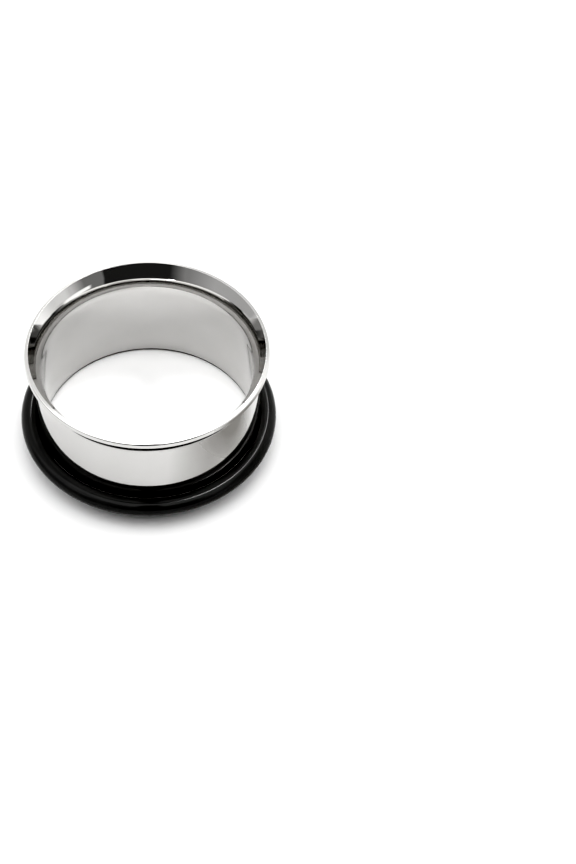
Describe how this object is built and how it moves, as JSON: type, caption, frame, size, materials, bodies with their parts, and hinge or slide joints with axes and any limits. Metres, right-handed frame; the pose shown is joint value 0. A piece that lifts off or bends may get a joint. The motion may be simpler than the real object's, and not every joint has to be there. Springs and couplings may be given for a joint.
{
  "type": "flesh tunnel",
  "caption": "Thin polished steel tube, flared to a lip at its top and held from its plain end by a black rubber O-ring; worn in a stretched earlobe.",
  "frame": {"origin": "on the axis of the tube, at the level of its plain end, which it stands on", "axes": "+Z along the axis of the tube, from the plain end to the flare; X and Y are any two directions across it"},
  "size_m": [0.0292, 0.0292, 0.0138],
  "materials": {
    "polished_steel": "mirror-polished stainless steel",
    "black_rubber": "smooth, faintly glossy"
  },
  "bodies": {
    "root": {"flared_tube": "polished_steel", "o_ring": "black_rubber"}
  },
  "joints": []
}
